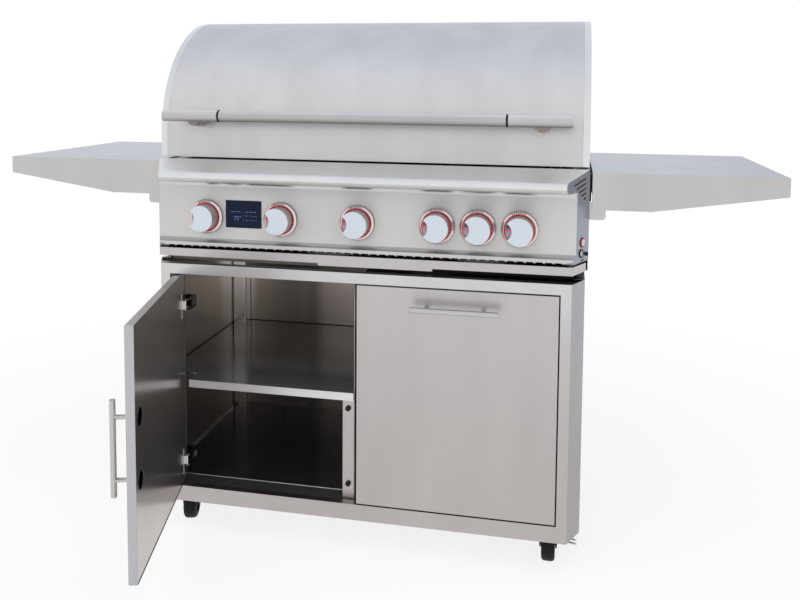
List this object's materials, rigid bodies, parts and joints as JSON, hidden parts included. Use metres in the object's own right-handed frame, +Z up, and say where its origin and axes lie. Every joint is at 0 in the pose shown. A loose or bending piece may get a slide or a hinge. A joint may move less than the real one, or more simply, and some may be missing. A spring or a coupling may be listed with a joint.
{
  "type": "gas grill cart",
  "caption": "Stainless gas grill on a rolling cabinet with a rolled hood, sloped control panel with knobs, swing door, bottle drawer, drip tray and folding side shelves.",
  "frame": {"origin": "on the floor, on the centre plane, below the cabinet's front face", "axes": "+X to the right seen from the front, +Y from front to back, +Z up"},
  "size_m": [1.816, 0.9769, 1.213],
  "materials": {
    "stainless": "brushed",
    "stainless_polished": "satin polished",
    "stainless_inside": "mill",
    "knob_metal": "satin",
    "screen": "gloss",
    "black_plastic": "matte",
    "soft_rubber": "matte",
    "wheel_rubber": "matte",
    "caster_steel": "satin paint",
    "valve_brass": "cast"
  },
  "bodies": {
    "cart": {"cart_front_frame": "stainless", "cart_side_panels": "stainless", "cart_back_panel": "stainless_inside", "cart_base_pan": "stainless_inside", "cart_corner_posts": "stainless_inside", "cart_divider": "stainless_inside", "cart_center_post": "stainless_inside", "door_bumpers": "soft_rubber", "cart_inner_shelf": "stainless", "door_hinge_arms": "stainless_inside", "drawer_slide_rails": "stainless_inside", "caster_plates": "stainless_inside", "head_side_panels": "stainless", "head_back_panel": "stainless_inside", "control_panel": "stainless", "display_screen": "screen", "knob_bezels": "knob_metal", "gas_manifold": "valve_brass", "firebox": "stainless_inside", "main_burners": "stainless_inside", "flame_tamers": "stainless_inside", "cooking_grates": "stainless_inside", "rear_burner": "stainless_inside", "warming_rack": "stainless_inside", "hood_hinge_brackets": "stainless_inside", "shelf_brackets": "stainless_inside"},
    "hood": {"hood_shell": "stainless", "hood_ends": "stainless_polished", "hood_liner": "stainless_inside", "hood_handle_bar": "stainless_polished", "hood_handle_rings": "black_plastic", "hood_handle_ends": "stainless_polished"},
    "door": {"door_panel": "stainless", "door_inner_panel": "stainless_inside", "door_handle": "stainless_polished", "door_hinge_cups": "stainless_inside"},
    "drawer": {"drawer_front": "stainless", "drawer_handle": "stainless_polished", "drawer_tray": "stainless_inside", "drawer_slide_runners": "stainless_inside"},
    "drawer_slide_middles": {"drawer_slide_middles": "stainless_inside"},
    "drip_tray": {"drip_tray": "stainless"},
    "power_button": {"power_button": "stainless_polished"},
    "side_shelf_left": {"side_shelf_left": "stainless"},
    "side_shelf_right": {"side_shelf_right": "stainless"},
    "knob_1": {"knob_1": "knob_metal"},
    "knob_2": {"knob_2": "knob_metal"},
    "knob_3": {"knob_3": "knob_metal"},
    "knob_4": {"knob_4": "knob_metal"},
    "knob_5": {"knob_5": "knob_metal"},
    "knob_6": {"knob_6": "knob_metal"},
    "caster_fork_1": {"caster_fork_1": "caster_steel"},
    "caster_wheel_1": {"caster_wheel_1": "wheel_rubber"},
    "caster_fork_2": {"caster_fork_2": "caster_steel"},
    "caster_wheel_2": {"caster_wheel_2": "wheel_rubber"},
    "caster_fork_3": {"caster_fork_3": "caster_steel"},
    "caster_wheel_3": {"caster_wheel_3": "wheel_rubber"},
    "caster_fork_4": {"caster_fork_4": "caster_steel"},
    "caster_wheel_4": {"caster_wheel_4": "wheel_rubber"}
  },
  "joints": [
    {"name": "hood_hinge", "type": "hinge", "parent": "cart", "child": "hood", "pos_m": [0, 0.5, 0.941], "axis": [-1, 0, 0], "range_deg": [0, 85]},
    {"name": "door_hinge", "type": "hinge", "parent": "cart", "child": "door", "pos_m": [-0.4205, 0.0225, 0.361], "axis": [0, 0, -1], "range_deg": [-76, 19]},
    {"name": "drawer_slide", "type": "slide", "parent": "cart", "child": "drawer", "axis": [0, -1, 0], "range_m": [0, 0.4]},
    {"name": "drawer_slide_middle", "type": "slide", "parent": "cart", "child": "drawer_slide_middles", "axis": [0, -1, 0], "range_m": [0, 0.2]},
    {"name": "drip_tray_slide", "type": "slide", "parent": "cart", "child": "drip_tray", "axis": [0, -1, 0], "range_m": [0, 0.35]},
    {"name": "power_button_press", "type": "slide", "parent": "cart", "child": "power_button", "axis": [-0.9, 0.4358, 0], "range_m": [0, 0.002], "stiffness_N_per_m": 300},
    {"name": "side_shelf_left_fold", "type": "hinge", "parent": "cart", "child": "side_shelf_left", "pos_m": [-0.52399, 0.331, 0.7967], "axis": [0, -1, 0], "range_deg": [0, 90]},
    {"name": "side_shelf_right_fold", "type": "hinge", "parent": "cart", "child": "side_shelf_right", "pos_m": [0.52399, 0.331, 0.7967], "axis": [0, 1, 0], "range_deg": [0, 90]},
    {"name": "knob_1_turn", "type": "hinge", "parent": "cart", "child": "knob_1", "pos_m": [-0.3575, 0.011, 0.7505], "axis": [0, -1, 0], "range_deg": [0, 180]},
    {"name": "knob_2_turn", "type": "hinge", "parent": "cart", "child": "knob_2", "pos_m": [-0.17875, 0.011, 0.7505], "axis": [0, -1, 0], "range_deg": [0, 180]},
    {"name": "knob_3_turn", "type": "hinge", "parent": "cart", "child": "knob_3", "pos_m": [0, 0.011, 0.7505], "axis": [0, -1, 0], "range_deg": [0, 180]},
    {"name": "knob_4_turn", "type": "hinge", "parent": "cart", "child": "knob_4", "pos_m": [0.17875, 0.011, 0.7505], "axis": [0, -1, 0], "range_deg": [0, 180]},
    {"name": "knob_5_turn", "type": "hinge", "parent": "cart", "child": "knob_5", "pos_m": [0.26813, 0.011, 0.7505], "axis": [0, -1, 0], "range_deg": [0, 180]},
    {"name": "knob_6_turn", "type": "hinge", "parent": "cart", "child": "knob_6", "pos_m": [0.3575, 0.011, 0.7505], "axis": [0, -1, 0], "range_deg": [0, 180]},
    {"name": "caster_1_swivel", "type": "hinge", "parent": "cart", "child": "caster_fork_1", "pos_m": [-0.43, 0.072, 0.06], "axis": [0, 0, 1], "continuous": true},
    {"name": "caster_1_roll", "type": "hinge", "parent": "caster_fork_1", "child": "caster_wheel_1", "pos_m": [-0.4271, 0.06036, 0.0375], "axis": [0.9703, 0.2419, 0], "continuous": true},
    {"name": "caster_2_swivel", "type": "hinge", "parent": "cart", "child": "caster_fork_2", "pos_m": [0.43, 0.072, 0.06], "axis": [0, 0, 1], "continuous": true},
    {"name": "caster_2_roll", "type": "hinge", "parent": "caster_fork_2", "child": "caster_wheel_2", "pos_m": [0.43, 0.06, 0.0375], "axis": [1, 0, 0], "continuous": true},
    {"name": "caster_3_swivel", "type": "hinge", "parent": "cart", "child": "caster_fork_3", "pos_m": [-0.43, 0.448, 0.06], "axis": [0, 0, 1], "continuous": true},
    {"name": "caster_3_roll", "type": "hinge", "parent": "caster_fork_3", "child": "caster_wheel_3", "pos_m": [-0.43, 0.436, 0.0375], "axis": [1, 0, 0], "continuous": true},
    {"name": "caster_4_swivel", "type": "hinge", "parent": "cart", "child": "caster_fork_4", "pos_m": [0.43, 0.448, 0.06], "axis": [0, 0, 1], "continuous": true},
    {"name": "caster_4_roll", "type": "hinge", "parent": "caster_fork_4", "child": "caster_wheel_4", "pos_m": [0.43, 0.436, 0.0375], "axis": [1, 0, 0], "continuous": true}
  ],
  "couplings": [
    {"joint": "drawer_slide_middle", "follows": "drawer_slide", "ratio": 0.5}
  ]
}
